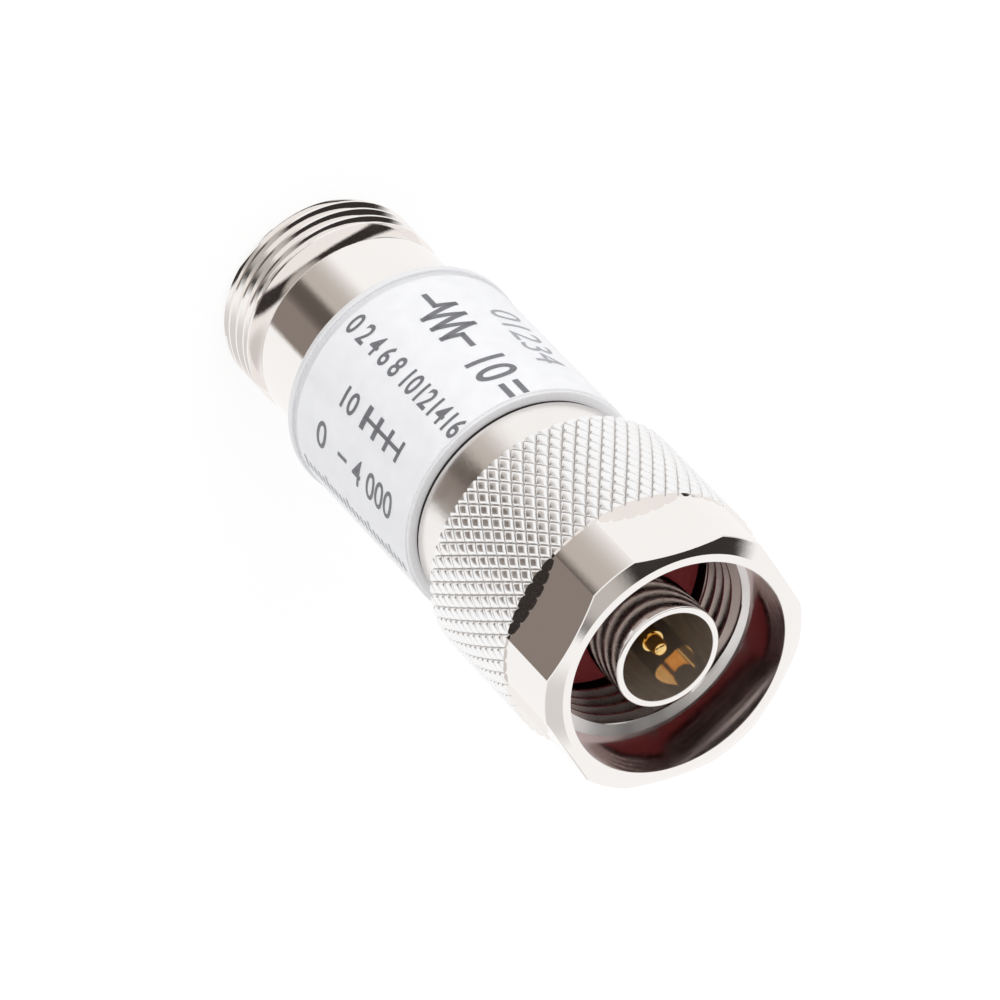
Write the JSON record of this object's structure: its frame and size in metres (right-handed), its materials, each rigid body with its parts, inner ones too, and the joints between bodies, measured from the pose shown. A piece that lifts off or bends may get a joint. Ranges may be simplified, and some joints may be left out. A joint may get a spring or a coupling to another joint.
{
  "type": "coaxial attenuator",
  "caption": "Straight in-line coaxial attenuator: a threaded jack at one end, a labelled round body with a resistor card inside, and a plug with a free-turning knurled coupling nut.",
  "frame": {"origin": "centre of the jack's end face, on which it stands", "axes": "+Z along the line's axis from the jack to the plug; +Y is the side of the label's seam"},
  "size_m": [0.0204, 0.0204, 0.052],
  "materials": {
    "bright_nickel": "bright nickel plate on brass",
    "gold_plate": "gold plate",
    "insulator": "white fluoropolymer",
    "card_ceramic": "unglazed alumina",
    "resistor": "thin resistor film",
    "silicone": "red silicone",
    "spring_bronze": "plain spring bronze",
    "label_white": "satin printed film",
    "clear_film": "clear film"
  },
  "bodies": {
    "attenuator": {"jack_shell": "bright_nickel", "jack_bead": "insulator", "jack_bushing": "bright_nickel", "jack_socket": "gold_plate", "body_tube": "bright_nickel", "carrier_lower": "bright_nickel", "carrier_upper": "bright_nickel", "card": "card_ceramic", "resistor_film": "resistor", "pad_jack": "gold_plate", "pad_plug": "gold_plate", "ground_left": "gold_plate", "ground_right": "gold_plate", "plug_shell": "bright_nickel", "plug_bead": "insulator", "plug_bushing": "bright_nickel", "plug_pin": "gold_plate", "gasket": "silicone", "snap_ring": "spring_bronze", "label": "label_white", "label_film": "clear_film"},
    "nut": {"coupling_nut": "bright_nickel"}
  },
  "joints": [
    {"name": "nut_spin", "type": "hinge", "parent": "attenuator", "child": "nut", "pos_m": [0, 0, 0.03285], "axis": [0, 0, 1], "continuous": true}
  ]
}
